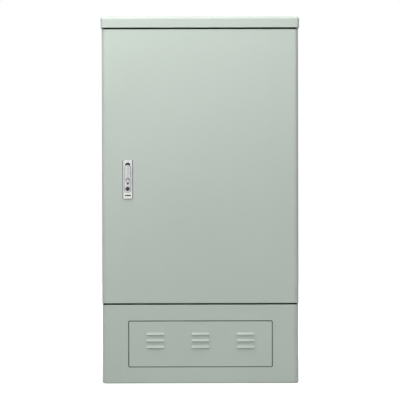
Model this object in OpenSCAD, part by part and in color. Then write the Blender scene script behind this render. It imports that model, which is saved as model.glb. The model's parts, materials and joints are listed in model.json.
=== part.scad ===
// Roadside utility cabinet: plinth, body with roof cap, hinged door with a swing handle lock,
// and the fixed rack, spools and cable fixings inside.
// Millimetres. X runs to the right as seen from the front, the front faces -Y, Z is up.
// The origin is on the ground at the centre of the anchor holes.

/* [Body] */
// Width of the body and the door
body_w = 750; // [720:10:850]
// Depth from the front of the door to the back
body_d = 320; // [310:5:420]
// Height of the whole cabinet
total_h = 1400; // [1360:10:1600]
// Thickness of the body sheet
sheet = 2; // [1.5:0.25:2.5]
// Outside radius of the upright edges
edge_r = 8; // [6:1:10]
// Gap above and below the door
door_gap = 6; // [4:1:8]
// Width of the front returns of the body
return_w = 30; // [28:1:40]
// Height of the roof cap
cap_h = 42; // [36:1:60]
// Radius of the upper edges of the roof cap
cap_r = 11; // [8:1:14]
// Gap between the body and the skirt of the roof cap
cap_gap = 2; // [1:0.5:4]
// Distance from the roof cap's top to the body's top panel
cap_space = 24; // [20:1:28]

/* [Plinth] */
// Height of the plinth
plinth_h = 300; // [280:5:340]
// How far the plinth stands in from the body all round
plinth_inset = 1.25; // [1:0.25:3]
// Radius of the lower rim of the plinth
rim_r = 6; // [4:0.5:6]
// Width of the foot flange
foot_w = 50; // [46:1:60]
// Width of the upper flange of the plinth
plinth_top_w = 40; // [38:1:44]
// Radius of an anchor hole
anchor_r = 7; // [6:0.5:9]
// Distance from the plinth edge to an anchor hole
anchor_in = 28; // [26:1:30]
// Distance from the plinth side to the access panel opening
panel_side = 98.5; // [80:0.5:110]
// Height of the lower edge of the panel opening
panel_low = 62; // [55:1:75]
// Distance from the panel opening to the top of the plinth
panel_above = 60; // [55:1:75]
// Corner radius of the panel opening
panel_corner = 6; // [5:0.5:10]
// Gap round the access panel
panel_gap = 3; // [2:0.5:4]
// Depth of the access panel's folded edge
panel_fold = 15; // [12:1:20]
// Width of one louvre
louvre_w = 68; // [60:1:80]
// Height of one louvre
louvre_h = 10; // [9:0.5:12]
// How far a louvre stands out
louvre_out = 5; // [4:0.25:5]
// Sheet thickness of a louvre hood
louvre_sheet = 1.5; // [1.2:0.1:1.6]
// Distance between louvres in one group
louvre_pitch = 25; // [22:1:28]
// Distance from the panel's edge to the outer louvres
group_side = 66.5; // [50:0.5:70]

/* [Door] */
// Depth of the door pan
door_fold = 21; // [19:1:22]
// Radius of the upper and lower front edges of the door
door_edge_r = 4.5; // [3:0.5:5]
// Gap between the door's folded edge and the body
door_back_gap = 7; // [6:0.5:8]
// How far the rain lip stands out in front of the body
lip_out = 14; // [13:0.5:15]
// Height of the sill and the header round the door opening
sill_h = 36; // [34:1:40]
// Width of the door gasket
gasket_w = 12; // [10:0.5:12]
// Distance between the gasket and the rain lip
gasket_gap = 0.3; // [0.3:0.1:1]
// Distance from the door edge to the hinge axis
hinge_in = 11; // [11:0.5:12]
// Distance from the door front to the hinge axis
hinge_back = 14; // [14:0.5:15]
// Radius of the hinge knuckle
knuckle_r = 6; // [5.5:0.25:6]
// Radius of the hinge pin
hinge_pin_r = 3; // [2.5:0.25:3.5]
// Height of one hinge
hinge_h = 80; // [70:2:100]
// Distance from the door's ends to the outer hinges
hinge_end = 114; // [100:2:160]
// Thickness of the hinge plates
hinge_plate = 3; // [2.5:0.25:3]

/* [Lock] */
// Distance from the door's edge to the lock
lock_in = 99; // [92:1:130]
// Height of the centre of the lock plate above the door's lower edge
lock_up = 473; // [440:5:520]
// Width of the lock plate
lock_w = 35; // [34:0.5:40]
// Height of the lock plate
lock_h = 147; // [145:1:160]
// How far the lock plate stands out
lock_out = 4; // [3:0.5:5]
// Height of the spindle above the centre of the plate
spindle_up = 43; // [42:0.5:46]
// Radius of the spindle
spindle_r = 5; // [4.5:0.25:5.5]
// Width of the handle
handle_w = 24; // [22:0.5:24]
// Length of the handle below the spindle
handle_len = 91; // [88:1:96]
// Thickness of the handle
handle_t = 10.6; // [10:0.2:12]
// Radius of the crowned front of the handle
crown_r = 26; // [22:1:40]
// Radius of the lock cylinder
cylinder_r = 8; // [7:0.25:8.5]
// Distance from the handle's end to the lock cylinder
cylinder_in = 12; // [11.5:0.5:14]
// Radius of the key plug
plug_r = 5; // [4.5:0.25:5.5]
// Width of the release button
button_w = 10; // [8:0.5:12]
// Length of the release button
button_h = 15; // [14:0.5:18]
// Distance from the handle's end to the release button
button_in = 43; // [38:1:46]
// Travel of the release button
button_travel = 2.5; // [2:0.25:3]
// Distance from the spindle to a crank pin
crank_r = 12.7; // [12.5:0.1:13]
// Radius of a crank pin
crank_pin_r = 3; // [2.5:0.25:3]
// Width of a lock rod
rod_w = 16; // [15:0.5:17]
// Thickness of a lock rod
rod_t = 4; // [3.5:0.25:4.5]
// Distance from the spindle line to the middle of a rod
rod_off = 11; // [10.9:0.05:11.1]

/* [Inside] */
// Width of a rack upright
upright_w = 30; // [28:1:34]
// Depth of a rack upright
upright_d = 40; // [34:1:50]
// Distance from the body's front returns to the rack front
rack_back = 62; // [58:1:70]
// Width of the column for the slack spools
spool_room = 186; // [170:2:200]
// Distance between the rows of the free rack holes
rack_hole_h = 120; // [100:5:140]
// Radius of a rack hole
rack_hole_r = 3.25; // [3:0.05:3.4]
// How far a patch panel reaches beyond the rack holes
patch_ear = 8.5; // [7:0.5:9]
// Height of a patch panel
patch_h = 132; // [120:1:132]
// Distance from one patch panel to the next
patch_pitch = 152; // [146:1:154]
// Depth of a patch panel
patch_d = 120; // [90:5:130]
// Adapter columns on a patch panel
adapter_cols = 12; // [8:1:12]
// Length of a slack spool
spool_len = 38; // [30:1:40]
// Distance between the slack spools
spool_pitch = 150; // [140:2:160]
// Radius of a floor grommet
grommet_r = 22; // [18:1:26]

/* [Hidden] */
$fn = 48;
hull_fn = 32;
// Small distances that keep the fits
fit = 0.2;
run_gap = 0.3;
pin_gap = 0.05;
through = 1;

// Main planes
front_y = -body_d / 2;
back_y = body_d / 2;
side_x = body_w / 2;
door_z0 = plinth_h + door_gap;
cap_z0 = total_h - cap_h;
door_z1 = cap_z0 - door_gap;
door_back_y = front_y + door_fold;
body_front_y = door_back_y + door_back_gap;
body_top = total_h - cap_space;
inner_x = side_x - sheet;
inner_back_y = back_y - sheet;
inner_front_y = body_front_y + sheet;
floor_z = plinth_h + sheet;
ceiling_z = body_top - sheet;
open_x = side_x - return_w;
open_z0 = plinth_h + sill_h;
open_z1 = door_z1 - return_w;
lip_y = body_front_y - lip_out;
door_in_y = front_y + sheet;
header_back_y = inner_front_y + sheet;

// Roof cap and bolts
cap_x = side_x + cap_gap + sheet;
cap_y = back_y + cap_gap + sheet;
roof_boss_r = 10;
roof_boss_side = 70;
roof_boss_end = 50;
roof_boss_x = side_x - roof_boss_side;
roof_boss_y0 = body_front_y + roof_boss_end;
roof_boss_y1 = back_y - roof_boss_end;
bolt_r = 6.5;
bolt_h = 5.5;
plinth_bolt_side = 32;
plinth_bolt_end = 25;
plinth_bolt_x = side_x - plinth_bolt_side;
plinth_bolt_y0 = body_front_y + plinth_bolt_end;
plinth_bolt_y1 = back_y - plinth_bolt_end;

// Plinth
plinth_w = body_w - 2 * plinth_inset;
plinth_d = body_d - 2 * plinth_inset;
plinth_front = -plinth_d / 2;
plinth_in_y = plinth_front + sheet;
foot_t = rim_r;
anchor_x = plinth_w / 2 - anchor_in;
anchor_y = plinth_d / 2 - anchor_in;
panel_x = plinth_w / 2 - panel_side;
panel_half = panel_x - panel_gap;
panel_top = plinth_h - panel_above;
panel_mid = (panel_low + panel_top) / 2;
panel_z0 = panel_low + panel_gap;
panel_z1 = panel_top - panel_gap;
louvre_rise = 13;
louvre_mid = panel_mid + louvre_rise;
group_pitch = panel_half - group_side - louvre_w / 2;
hood_r = (louvre_h * louvre_h + louvre_out * louvre_out) / (2 * louvre_out);
hood_lean = 2.5;
tab_w = 24;
tab_h = 15;
tab_x = panel_half * 0.72;
wing_r = 5;
wing_h = 9;
wing_span = 28;

// Hinges
hinge_x = side_x - hinge_in;
hinge_y = front_y + hinge_back;
hinge_z = [
    door_z0 + hinge_end - hinge_h / 2,
    (door_z0 + door_z1) / 2 - hinge_h / 2,
    door_z1 - hinge_end - hinge_h / 2
];
knuckle_gap = 2;
knuckle_h = (hinge_h - knuckle_gap) / 2;
hinge_arm_y0 = hinge_y + fit;
hinge_arm_y1 = hinge_arm_y0 + hinge_plate;
hinge_foot_x = open_x + sheet;
leaf_half = 9;
leaf_web = 3;

// Lock plate and housing
lock_x = -side_x + lock_in;
lock_z = door_z0 + lock_up;
plate_y = front_y - lock_out;
plate_corner = 3;
plate_rim = 2.9;
plate_end = 4;
lock_body_w = lock_w - 2 * plate_rim;
lock_body_h = lock_h - 2 * plate_end;
cutout_gap = 0.4;
frame_w = 10;
frame_t = 4;
slot_down = 63;
slot_z = lock_z - slot_down;
slot_w = 23;
slot_h = 4;
spindle_z = lock_z + spindle_up;
handle_r = handle_w / 2;
pocket_play = 1;
pocket_r = handle_r + pocket_play;
pocket_neck = 19;
pocket_top = 21;
pocket_depth = 12;
recess_depth = 1.2;
pocket_floor = 2;
pocket_y = plate_y + pocket_depth;
lock_back_y = pocket_y + pocket_floor;
boss_wall = 3.5;
boss_len = 22;
boss_r = spindle_r + boss_wall;
boss_back_y = lock_back_y + boss_len;

// Handle
handle_gap = 0.4;
handle_back_y = plate_y - handle_gap;
handle_front_y = handle_back_y - handle_t;
handle_corner = 6;
handle_end_z = spindle_z - handle_len;
lift_h = 9;
lift_d = 3;
pivot_in = 3.6;
pivot_y = handle_back_y - pivot_in;
pivot_r = 2;
pin_end = 1;
tang_r = 4;
tang_w = 8;
tang_gap = 0.3;
head_rim = 3;
head_t = 3;
head_y = pocket_y - run_gap;

// Lock cylinder and release button
cylinder_out = 1.5;
cylinder_seat = 1;
cylinder_z = handle_end_z + cylinder_in;
cylinder_front_y = handle_front_y - cylinder_out;
cylinder_back_y = handle_back_y - cylinder_seat;
plug_out = 0.6;
plug_floor = 1;
plug_front_y = cylinder_front_y - plug_out;
plug_back_y = cylinder_back_y - plug_floor;
key_slot_w = 1.6;
key_slot_h = 7;
key_slot_d = 3;
button_out = 3;
button_floor = 2;
button_z = handle_end_z + button_in;
button_front_y = handle_front_y - button_out;
button_floor_y = handle_back_y - button_floor;
button_back_y = button_floor_y - button_travel - run_gap;

// Cam and rods
cam_gap = 4;
cam_t = 3;
cam_arm = 10;
cam_screw_r = 4;
cam_y0 = boss_back_y + cam_gap;
cam_y1 = cam_y0 + cam_t;
crank_angle = 45;
crank_z = crank_r * sin(crank_angle);
rod_y0 = cam_y1 + run_gap;
rod_y1 = rod_y0 + rod_t;
crank_tip_y = rod_y1 + run_gap;
yoke_side_play = 2.05;
yoke_sine_play = 0.4;
yoke_half = yoke_side_play + crank_pin_r + run_gap;
yoke_rise = yoke_sine_play + crank_pin_r + run_gap;
yoke_end = 9;
rod_tip_gap = 4;
upper_rod_x = lock_x + rod_off;
lower_rod_x = lock_x - rod_off;
upper_tip_z = open_z1 - rod_tip_gap;
lower_tip_z = open_z0 + rod_tip_gap;
guide_plate = 3;
guide_h = 24;
guide_side = 6;
guide_in = 90;
keeper_w = 40;
keeper_h = 22;
keeper_gap = 1;
keeper_lead = 8;
keeper_nose = 3;

// Door fittings
gasket_x = open_x + sheet / 2;
gasket_z0 = open_z0 - sheet / 2;
gasket_z1 = open_z1 + sheet / 2;
gasket_back_y = lip_y - gasket_gap;
hat_w = 60;
hat_d = 14;
hat_lug = 14;
hat_sheet = 1.5;
hat_end = 80;
paper_side = 20;
paper_end = 36;
paper_up = 100;
paper_h = 180;
paper_d = 28;
paper_wall = 2;
paper_notch_r = 40;
paper_x0 = hat_w / 2 + hat_lug + paper_side;
paper_x1 = gasket_x - gasket_w / 2 - paper_end;
paper_z0 = lock_z + paper_up;

// Rack
rack_y = body_front_y + rack_back;
rack_side = 38;
upright_sheet = 2;
hole_edge = 7.5;
spool_side = 12;
spool_x0 = inner_x - spool_room;
left_x0 = -inner_x + rack_side;
right_x0 = spool_x0 - spool_side - upright_w;
rack_half = (right_x0 - left_x0 - upright_w) / 2;
rack_mid = right_x0 - rack_half;
rack_hole_w = 2 * (rack_half + hole_edge);
patch_w = rack_hole_w + 2 * patch_ear;
free_hole_up = 250;
free_hole_z = plinth_h + free_hole_up;
patch_down = 90;
patch_top = ceiling_z - patch_down;
patch_plate = 2;
patch_wall = 2;
adapter_w = 22;
adapter_h = 34;
adapter_out = 14;
adapter_gap = 10;

// Spools
spool_x = spool_x0 + spool_room / 2;
spool_r = spool_room * 0.225;
spool_flange = spool_room * 0.065;
spool_ear = spool_room * 0.2;
spool_wall = 3;
spool_flange_t = 3;
spool_sheet = 2;
spool_top_gap = 40;
spool_plate_h = 580;
spool_top = ceiling_z - spool_top_gap;
spool_low = spool_top - spool_plate_h;
spool_lug = 30;

// Cable fixings
clamp_bar_up = 110;
clamp_bar_z = floor_z + clamp_bar_up;
clamp_bar_y = 40;
clamp_bar_h = 40;
clamp_bar_t = 3;
clamp_count = 8;
clamp_pitch = 70;
clamp_w = 36;
clamp_d = 22;
clamp_groove_r = 11;
earth_up = 190;
earth_z = floor_z + earth_up;
earth_h = 30;
earth_t = 6;
earth_len = 320;
earth_off = 30;
earth_screw_r = 6;
earth_screw_h = 5;
earth_foot_r = 12;
earth_pitch = earth_len / 10;
grommet_lip = 5;
grommet_t = 4;
grommet_out_r = grommet_r + grommet_lip;
grommet_back = 17;
grommet_side = 57;
grommet_y = plinth_d / 2 - plinth_top_w - grommet_out_r - grommet_back;
grommet_pitch = (plinth_w / 2 - plinth_top_w - grommet_out_r - grommet_side) / 2.5;

// Shared shapes

module box(x0, x1, y0, y1, z0, z1) {
    translate([x0, y0, z0])
        cube([x1 - x0, y1 - y0, z1 - z0]);
}

module rounded_rect(w, d, r) {
    square([w - 2 * r, d], center = true);
    square([w, d - 2 * r], center = true);
    for (sx = [-1, 1], sy = [-1, 1])
        translate([sx * (w / 2 - r), sy * (d / 2 - r)])
            circle(r = r);
}

// Extrudes a front view outline from y0 back to y1
module along_y(y0, y1) {
    translate([0, y1, 0])
        rotate([90, 0, 0])
            linear_extrude(y1 - y0)
                children();
}

// Round bar along Y
module bar_y(x, z, r, y0, y1) {
    translate([x, y1, z])
        rotate([90, 0, 0])
            cylinder(r = r, h = y1 - y0);
}

// Round bar along X
module bar_x(x0, x1, y, z, r) {
    translate([x0, y, z])
        rotate([0, 90, 0])
            cylinder(r = r, h = x1 - x0);
}

module ball(r) {
    rotate_extrude($fn = hull_fn)
        intersection() {
            circle(r = r, $fn = hull_fn);
            translate([0, -r])
                square([r, 2 * r]);
        }
}

// Plinth

module plinth_block() {
    hull() {
        translate([0, 0, plinth_h - sheet])
            linear_extrude(sheet)
                rounded_rect(plinth_w, plinth_d, edge_r, $fn = hull_fn);
        for (sx = [-1, 1], sy = [-1, 1])
            translate([sx * (plinth_w / 2 - edge_r), sy * (plinth_d / 2 - edge_r), rim_r])
                rotate_extrude($fn = hull_fn)
                    intersection() {
                        translate([edge_r - rim_r, 0])
                            circle(r = rim_r, $fn = hull_fn);
                        translate([0, -rim_r])
                            square([edge_r, 2 * rim_r]);
                    }
    }
}

module plinth_shell() {
    color("#a7b1a9")
    difference() {
        plinth_block();
        translate([0, 0, foot_t])
            linear_extrude(plinth_h - foot_t - sheet)
                rounded_rect(plinth_w - 2 * sheet, plinth_d - 2 * sheet, edge_r - sheet);
        translate([0, 0, plinth_h - sheet - through])
            linear_extrude(sheet + 2 * through)
                rounded_rect(plinth_w - 2 * plinth_top_w, plinth_d - 2 * plinth_top_w, edge_r);
        translate([0, 0, -through])
            linear_extrude(foot_t + 2 * through)
                rounded_rect(plinth_w - 2 * foot_w, plinth_d - 2 * foot_w, edge_r);
        for (sx = [-1, 1], sy = [-1, 1])
            translate([sx * anchor_x, sy * anchor_y, -through])
                cylinder(r = anchor_r, h = foot_t + 2 * through);
        along_y(plinth_front - through, plinth_in_y + through)
            panel_outline(0);
    }
}

module panel_outline(inset) {
    translate([0, panel_mid])
        rounded_rect(2 * (panel_x - inset), panel_top - panel_low - 2 * inset, panel_corner - inset);
}

// Side view of a pressed hood: an arc that leaves the sheet at its upper edge
module louvre_section(inset) {
    intersection() {
        translate([hood_r - louvre_out, -louvre_h / 2])
            circle(r = hood_r - inset);
        translate([-louvre_out, -louvre_h / 2 - (inset > 0 ? through : 0)])
            square([louvre_out, louvre_h + through]);
    }
}

// Front view of a hood, with cheeks that lean inwards
module louvre_front(inset) {
    low = -louvre_h / 2 - (inset > 0 ? through : 0);
    half = louvre_w / 2 - inset;
    polygon([
        [-half, low],
        [half, low],
        [half - hood_lean, louvre_h / 2],
        [-half + hood_lean, louvre_h / 2]
    ]);
}

module louvre_hood(inset) {
    intersection() {
        across_x(louvre_w)
            louvre_section(inset);
        along_y(-louvre_out - through, through)
            louvre_front(inset);
    }
}

// Extrudes a side view outline evenly to both sides
module across_x(w) {
    rotate([90, 0, 90])
        linear_extrude(w, center = true)
            children();
}

module at_louvres() {
    for (col = [-1, 0, 1], row = [-1, 0, 1])
        translate([col * group_pitch, plinth_front, louvre_mid + row * louvre_pitch])
            children();
}

module plinth_panel() {
    slot_half = louvre_w / 2 - hood_lean - louvre_sheet;
    color("#adb7af")
    difference() {
        union() {
            along_y(plinth_front, plinth_in_y)
                panel_outline(panel_gap);
            along_y(plinth_front, plinth_front + panel_fold)
                difference() {
                    panel_outline(panel_gap);
                    panel_outline(panel_gap + sheet);
                }
            at_louvres()
                louvre_hood(0);
            for (sx = [-1, 1])
                translate([sx * tab_x, 0, 0]) {
                    box(-tab_w / 2, tab_w / 2, plinth_in_y, plinth_in_y + sheet,
                        panel_z1 - sheet, panel_top + tab_h);
                    box(-tab_w / 2, tab_w / 2, plinth_in_y, plinth_in_y + sheet,
                        panel_low - tab_h, panel_z0 + sheet);
                }
        }
        at_louvres() {
            louvre_hood(louvre_sheet);
            box(-slot_half, slot_half, -louvre_sheet, sheet + through, -louvre_h / 2, 0);
        }
    }
}

module panel_wing_nuts() {
    y0 = plinth_in_y + sheet;
    color("#b9bcbd")
    for (sx = [-1, 1], z = [panel_low - tab_h / 2, panel_top + tab_h / 2]) {
        bar_y(sx * tab_x, z, wing_r, y0, y0 + wing_h);
        box(sx * tab_x - wing_span / 2, sx * tab_x + wing_span / 2, y0 + wing_h / 2, y0 + wing_h + wing_r,
            z - sheet / 2, z + sheet / 2);
    }
}

module plinth_bolts() {
    color("#b9bcbd")
    for (sx = [-1, 1], y = [plinth_bolt_y0, plinth_bolt_y1])
        translate([sx * plinth_bolt_x, y, floor_z])
            cylinder(r = bolt_r, h = bolt_h, $fn = 6);
}

// Body

module body_outline(inset) {
    translate([0, (body_front_y + back_y) / 2])
        rounded_rect(body_w - 2 * inset, back_y - body_front_y - 2 * inset, edge_r - inset);
}

module carcass_wrap() {
    color("#b3bdb5") {
        translate([0, 0, plinth_h])
            linear_extrude(body_top - plinth_h)
                difference() {
                    body_outline(0);
                    body_outline(sheet);
                    translate([-open_x, body_front_y - through])
                        square([2 * open_x, sheet + 2 * through]);
                }
        for (x = [-open_x - sheet, open_x])
            box(x, x + sheet, lip_y, inner_front_y, open_z0 - sheet, open_z1 + sheet);
    }
}

module top_panel() {
    color("#aeb8b0") {
        translate([0, 0, ceiling_z])
            linear_extrude(sheet)
                body_outline(sheet + fit);
        box(-open_x, open_x, body_front_y, header_back_y, open_z1, body_top);
        box(-open_x, open_x, lip_y, inner_front_y, open_z1, open_z1 + sheet);
    }
}

module floor_panel() {
    color("#aeb8b0")
    difference() {
        union() {
            translate([0, 0, plinth_h])
                linear_extrude(sheet)
                    body_outline(sheet + fit);
            box(-open_x, open_x, body_front_y, header_back_y, plinth_h, open_z0);
            box(-open_x, open_x, lip_y, inner_front_y, open_z0 - sheet, open_z0);
        }
        at_grommets()
            translate([0, 0, -through])
                cylinder(r = grommet_r, h = sheet + 2 * through);
    }
}

module at_grommets() {
    for (i = [-2.5:1:2.5])
        translate([i * grommet_pitch, grommet_y, plinth_h])
            children();
}

module floor_grommets() {
    color("#2b2d2c")
    at_grommets() {
        cylinder(r = grommet_r, h = sheet);
        for (z = [-grommet_t, sheet])
            translate([0, 0, z])
                cylinder(r = grommet_out_r, h = grommet_t);
    }
}

module cap_block(r, z0) {
    hull()
        for (sx = [-1, 1], sy = [-1, 1])
            translate([sx * (cap_x - cap_r), sy * (cap_y - cap_r), 0]) {
                translate([0, 0, total_h - cap_r])
                    ball(r);
                translate([0, 0, z0])
                    cylinder(r = r, h = sheet, $fn = hull_fn);
            }
}

module at_roof_bosses(z) {
    for (sx = [-1, 1], y = [roof_boss_y0, roof_boss_y1])
        translate([sx * roof_boss_x, y, z])
            children();
}

module roof_cap() {
    color("#c4cec6") {
        difference() {
            cap_block(cap_r, cap_z0);
            cap_block(cap_r - sheet, cap_z0 - 2 * sheet);
        }
        translate([0, 0, cap_z0])
            linear_extrude(sheet)
                intersection() {
                    rounded_rect(2 * cap_x - sheet, 2 * cap_y - sheet, cap_r - sheet / 2);
                    translate([-cap_x, -cap_y])
                        square([2 * cap_x, body_front_y - cap_gap + cap_y]);
                }
        at_roof_bosses(body_top)
            cylinder(r = roof_boss_r, h = cap_space - sheet / 2);
    }
}

module roof_bolts() {
    color("#b9bcbd")
    at_roof_bosses(ceiling_z - bolt_h)
        cylinder(r = bolt_r, h = bolt_h, $fn = 6);
}

// Hinges

module hinge_bracket(i) {
    z0 = hinge_z[i];
    color("#c2c5c6")
    difference() {
        union() {
            translate([hinge_x, hinge_y, z0])
                cylinder(r = knuckle_r, h = knuckle_h);
            box(hinge_foot_x, hinge_x, hinge_arm_y0, hinge_arm_y1, z0, z0 + knuckle_h);
            box(hinge_foot_x, hinge_foot_x + hinge_plate, hinge_arm_y0, body_front_y, z0, z0 + hinge_h);
        }
        translate([hinge_x, hinge_y, z0 - through])
            cylinder(r = hinge_pin_r, h = knuckle_h + 2 * through);
    }
}

module hinge_pin(i) {
    color("#d3d5d6")
    translate([hinge_x, hinge_y, hinge_z[i]])
        cylinder(r = hinge_pin_r, h = hinge_h);
}

module hinge_leaf(i) {
    z1 = hinge_z[i] + hinge_h;
    z0 = z1 - knuckle_h;
    color("#c2c5c6")
    difference() {
        union() {
            translate([hinge_x, hinge_y, z0])
                cylinder(r = knuckle_r, h = knuckle_h);
            box(hinge_x - leaf_web, hinge_x + leaf_web, door_in_y, hinge_y, z0, z1);
            box(hinge_x - leaf_half, side_x - edge_r, door_in_y, door_in_y + hinge_plate,
                hinge_z[i], z1);
        }
        translate([hinge_x, hinge_y, z0 - through])
            cylinder(r = hinge_pin_r + pin_gap, h = knuckle_h + 2 * through);
    }
}

// Door

module door_outline(inset) {
    half = side_x - inset;
    y0 = front_y + inset;
    r = edge_r - inset;
    translate([-half, y0 + r])
        square([2 * half, door_back_y - y0 - r + inset]);
    translate([-half + r, y0])
        square([2 * (half - r), door_back_y - y0 + inset]);
    for (sx = [-1, 1])
        translate([sx * (half - r), y0 + r])
            circle(r = r);
}

// Side view of the door pan
module door_side() {
    y0 = front_y + door_edge_r;
    translate([y0, door_z0])
        square([door_back_y - y0, door_z1 - door_z0]);
    translate([front_y, door_z0 + door_edge_r])
        square([door_fold, door_z1 - door_z0 - 2 * door_edge_r]);
    for (z = [door_z0 + door_edge_r, door_z1 - door_edge_r])
        translate([y0, z])
            circle(r = door_edge_r);
}

module lock_outline(grow) {
    translate([lock_x, lock_z])
        square([lock_body_w + 2 * grow, lock_body_h + 2 * grow], center = true);
}

module door_panel() {
    color("#b9c3bb")
    difference() {
        intersection() {
            translate([0, 0, door_z0])
                linear_extrude(door_z1 - door_z0)
                    door_outline(0);
            across_x(body_w)
                door_side();
        }
        translate([0, 0, door_z0 + sheet])
            linear_extrude(door_z1 - door_z0 - 2 * sheet)
                door_outline(sheet);
        along_y(front_y - through, door_in_y + through)
            lock_outline(cutout_gap);
    }
}

module gasket_outline(side) {
    half = gasket_x + side * gasket_w / 2;
    z0 = gasket_z0 - side * gasket_w / 2;
    z1 = gasket_z1 + side * gasket_w / 2;
    translate([-half, z0])
        square([2 * half, z1 - z0]);
}

module door_gasket() {
    color("#1e1f1f")
    along_y(door_in_y, gasket_back_y)
        difference() {
            gasket_outline(1);
            gasket_outline(-1);
        }
}

module door_stiffener() {
    half = hat_w / 2;
    color("#b3bdb5")
    translate([0, 0, door_z0 + hat_end])
        linear_extrude(door_z1 - door_z0 - 2 * hat_end) {
            for (sx = [-1, 1])
                translate([sx * (half + hat_lug / 2), door_in_y + hat_sheet / 2])
                    square([hat_lug + 2 * hat_sheet, hat_sheet], center = true);
            translate([-half, door_in_y])
                difference() {
                    square([hat_w, hat_d]);
                    translate([hat_sheet, -through])
                        square([hat_w - 2 * hat_sheet, hat_d - hat_sheet + through]);
                }
        }
}

module document_pocket() {
    y1 = door_in_y + paper_d;
    color("#4c504f")
    difference() {
        box(paper_x0, paper_x1, door_in_y, y1, paper_z0, paper_z0 + paper_h);
        box(paper_x0 + paper_wall, paper_x1 - paper_wall, door_in_y + paper_wall, y1 - paper_wall,
            paper_z0 + paper_wall, paper_z0 + paper_h + through);
        bar_y((paper_x0 + paper_x1) / 2, paper_z0 + paper_h, paper_notch_r,
            y1 - paper_wall - through, y1 + through);
    }
}

// Lock

module lock_pocket_outline() {
    translate([lock_x, spindle_z])
        circle(r = pocket_r);
    translate([lock_x, spindle_z + pocket_top - pocket_neck / 2])
        circle(r = pocket_neck / 2);
    translate([lock_x - pocket_neck / 2, spindle_z])
        square([pocket_neck, pocket_top - pocket_neck / 2]);
}

module lock_housing() {
    color("#d5d7d8")
    difference() {
        union() {
            along_y(plate_y, front_y)
                translate([lock_x, lock_z])
                    rounded_rect(lock_w, lock_h, plate_corner);
            along_y(front_y, lock_back_y)
                lock_outline(0);
            bar_y(lock_x, spindle_z, boss_r, lock_back_y, boss_back_y);
        }
        along_y(plate_y - through, pocket_y)
            lock_pocket_outline();
        along_y(plate_y - through, plate_y + recess_depth)
            handle_outline(pocket_play);
        along_y(plate_y - through, front_y + slot_h)
            translate([lock_x, slot_z])
                rounded_rect(slot_w, slot_h, slot_h / 2 - fit);
        bar_y(lock_x, spindle_z, spindle_r + pin_gap, pocket_y - through, boss_back_y + through);
    }
}

module lock_frame() {
    color("#c2c5c6")
    along_y(door_in_y, door_in_y + frame_t)
        difference() {
            lock_outline(frame_w);
            lock_outline(fit);
        }
}

module lock_spindle() {
    color("#c9cbcc")
    difference() {
        union() {
            bar_y(lock_x, spindle_z, spindle_r, head_y, cam_y0);
            bar_y(lock_x, spindle_z, spindle_r + head_rim, head_y - head_t, head_y);
            box(lock_x - tang_w / 2, lock_x + tang_w / 2, pivot_y, head_y - head_t / 2,
                spindle_z - tang_r, spindle_z + tang_r);
            bar_x(lock_x - tang_w / 2, lock_x + tang_w / 2, pivot_y, spindle_z, tang_r);
        }
        bar_x(lock_x - tang_w, lock_x + tang_w, pivot_y, spindle_z, pivot_r + pin_gap);
    }
}

module lock_cam() {
    color("#c2c5c6") {
        along_y(cam_y0, cam_y1)
            translate([lock_x, spindle_z])
                difference() {
                    union() {
                        circle(r = boss_r);
                        rotate(-crank_angle)
                            rounded_rect(2 * crank_r + cam_arm, cam_arm, cam_arm / 2 - fit);
                    }
                    circle(r = cam_screw_r);
                }
        for (side = [-1, 1])
            bar_y(lock_x + side * crank_r * cos(crank_angle), spindle_z - side * crank_z, crank_pin_r,
                cam_y1, crank_tip_y);
    }
}

module cam_screw() {
    color("#9b9ea0")
    bar_y(lock_x, spindle_z, cam_screw_r, cam_y0, cam_y1);
}

module handle_outline(grow) {
    half = handle_r + grow;
    r = handle_corner + grow;
    low = handle_end_z - grow;
    translate([lock_x, spindle_z])
        circle(r = half);
    translate([lock_x - half, low + r])
        square([2 * half, spindle_z - low - r]);
    translate([lock_x - half + r, low])
        square([2 * (half - r), spindle_z - low]);
    for (sx = [-1, 1])
        translate([lock_x + sx * (half - r), low + r])
            circle(r = r);
}

module button_outline(grow) {
    r = button_w / 2 + grow;
    for (side = [-1, 1])
        translate([lock_x, button_z + side * (button_h - button_w) / 2])
            circle(r = r);
    translate([lock_x, button_z])
        square([2 * r, button_h - button_w], center = true);
}

// Side view of the wedge that is cut away for the fingers
module finger_wedge() {
    polygon([
        [handle_back_y - lift_d, handle_end_z - through],
        [handle_back_y + through, handle_end_z - through],
        [handle_back_y + through, handle_end_z + lift_h]
    ]);
}

module swing_handle() {
    color("#d5d7d8")
    difference() {
        intersection() {
            along_y(handle_front_y, handle_back_y)
                handle_outline(0);
            translate([lock_x, handle_front_y + crown_r, handle_end_z - through])
                cylinder(r = crown_r, h = handle_len + handle_w);
        }
        box(lock_x - tang_w / 2 - tang_gap, lock_x + tang_w / 2 + tang_gap,
            pivot_y - tang_r - tang_gap, handle_back_y + through,
            spindle_z - tang_r - tang_gap, spindle_z + handle_w);
        bar_x(lock_x - handle_w, lock_x + handle_w, pivot_y, spindle_z, pivot_r);
        bar_y(lock_x, cylinder_z, cylinder_r, handle_front_y - through, cylinder_back_y);
        along_y(handle_front_y - through, button_floor_y)
            button_outline(run_gap);
        translate([lock_x, 0, 0])
            across_x(handle_w + 2 * through)
                finger_wedge();
    }
}

module handle_pin() {
    color("#9b9ea0")
    bar_x(lock_x - handle_r + pin_end, lock_x + handle_r - pin_end, pivot_y, spindle_z, pivot_r);
}

module lock_cylinder() {
    color("#262728")
    difference() {
        bar_y(lock_x, cylinder_z, cylinder_r, cylinder_front_y, cylinder_back_y);
        bar_y(lock_x, cylinder_z, plug_r + pin_gap, cylinder_front_y - through, plug_back_y);
    }
}

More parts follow.
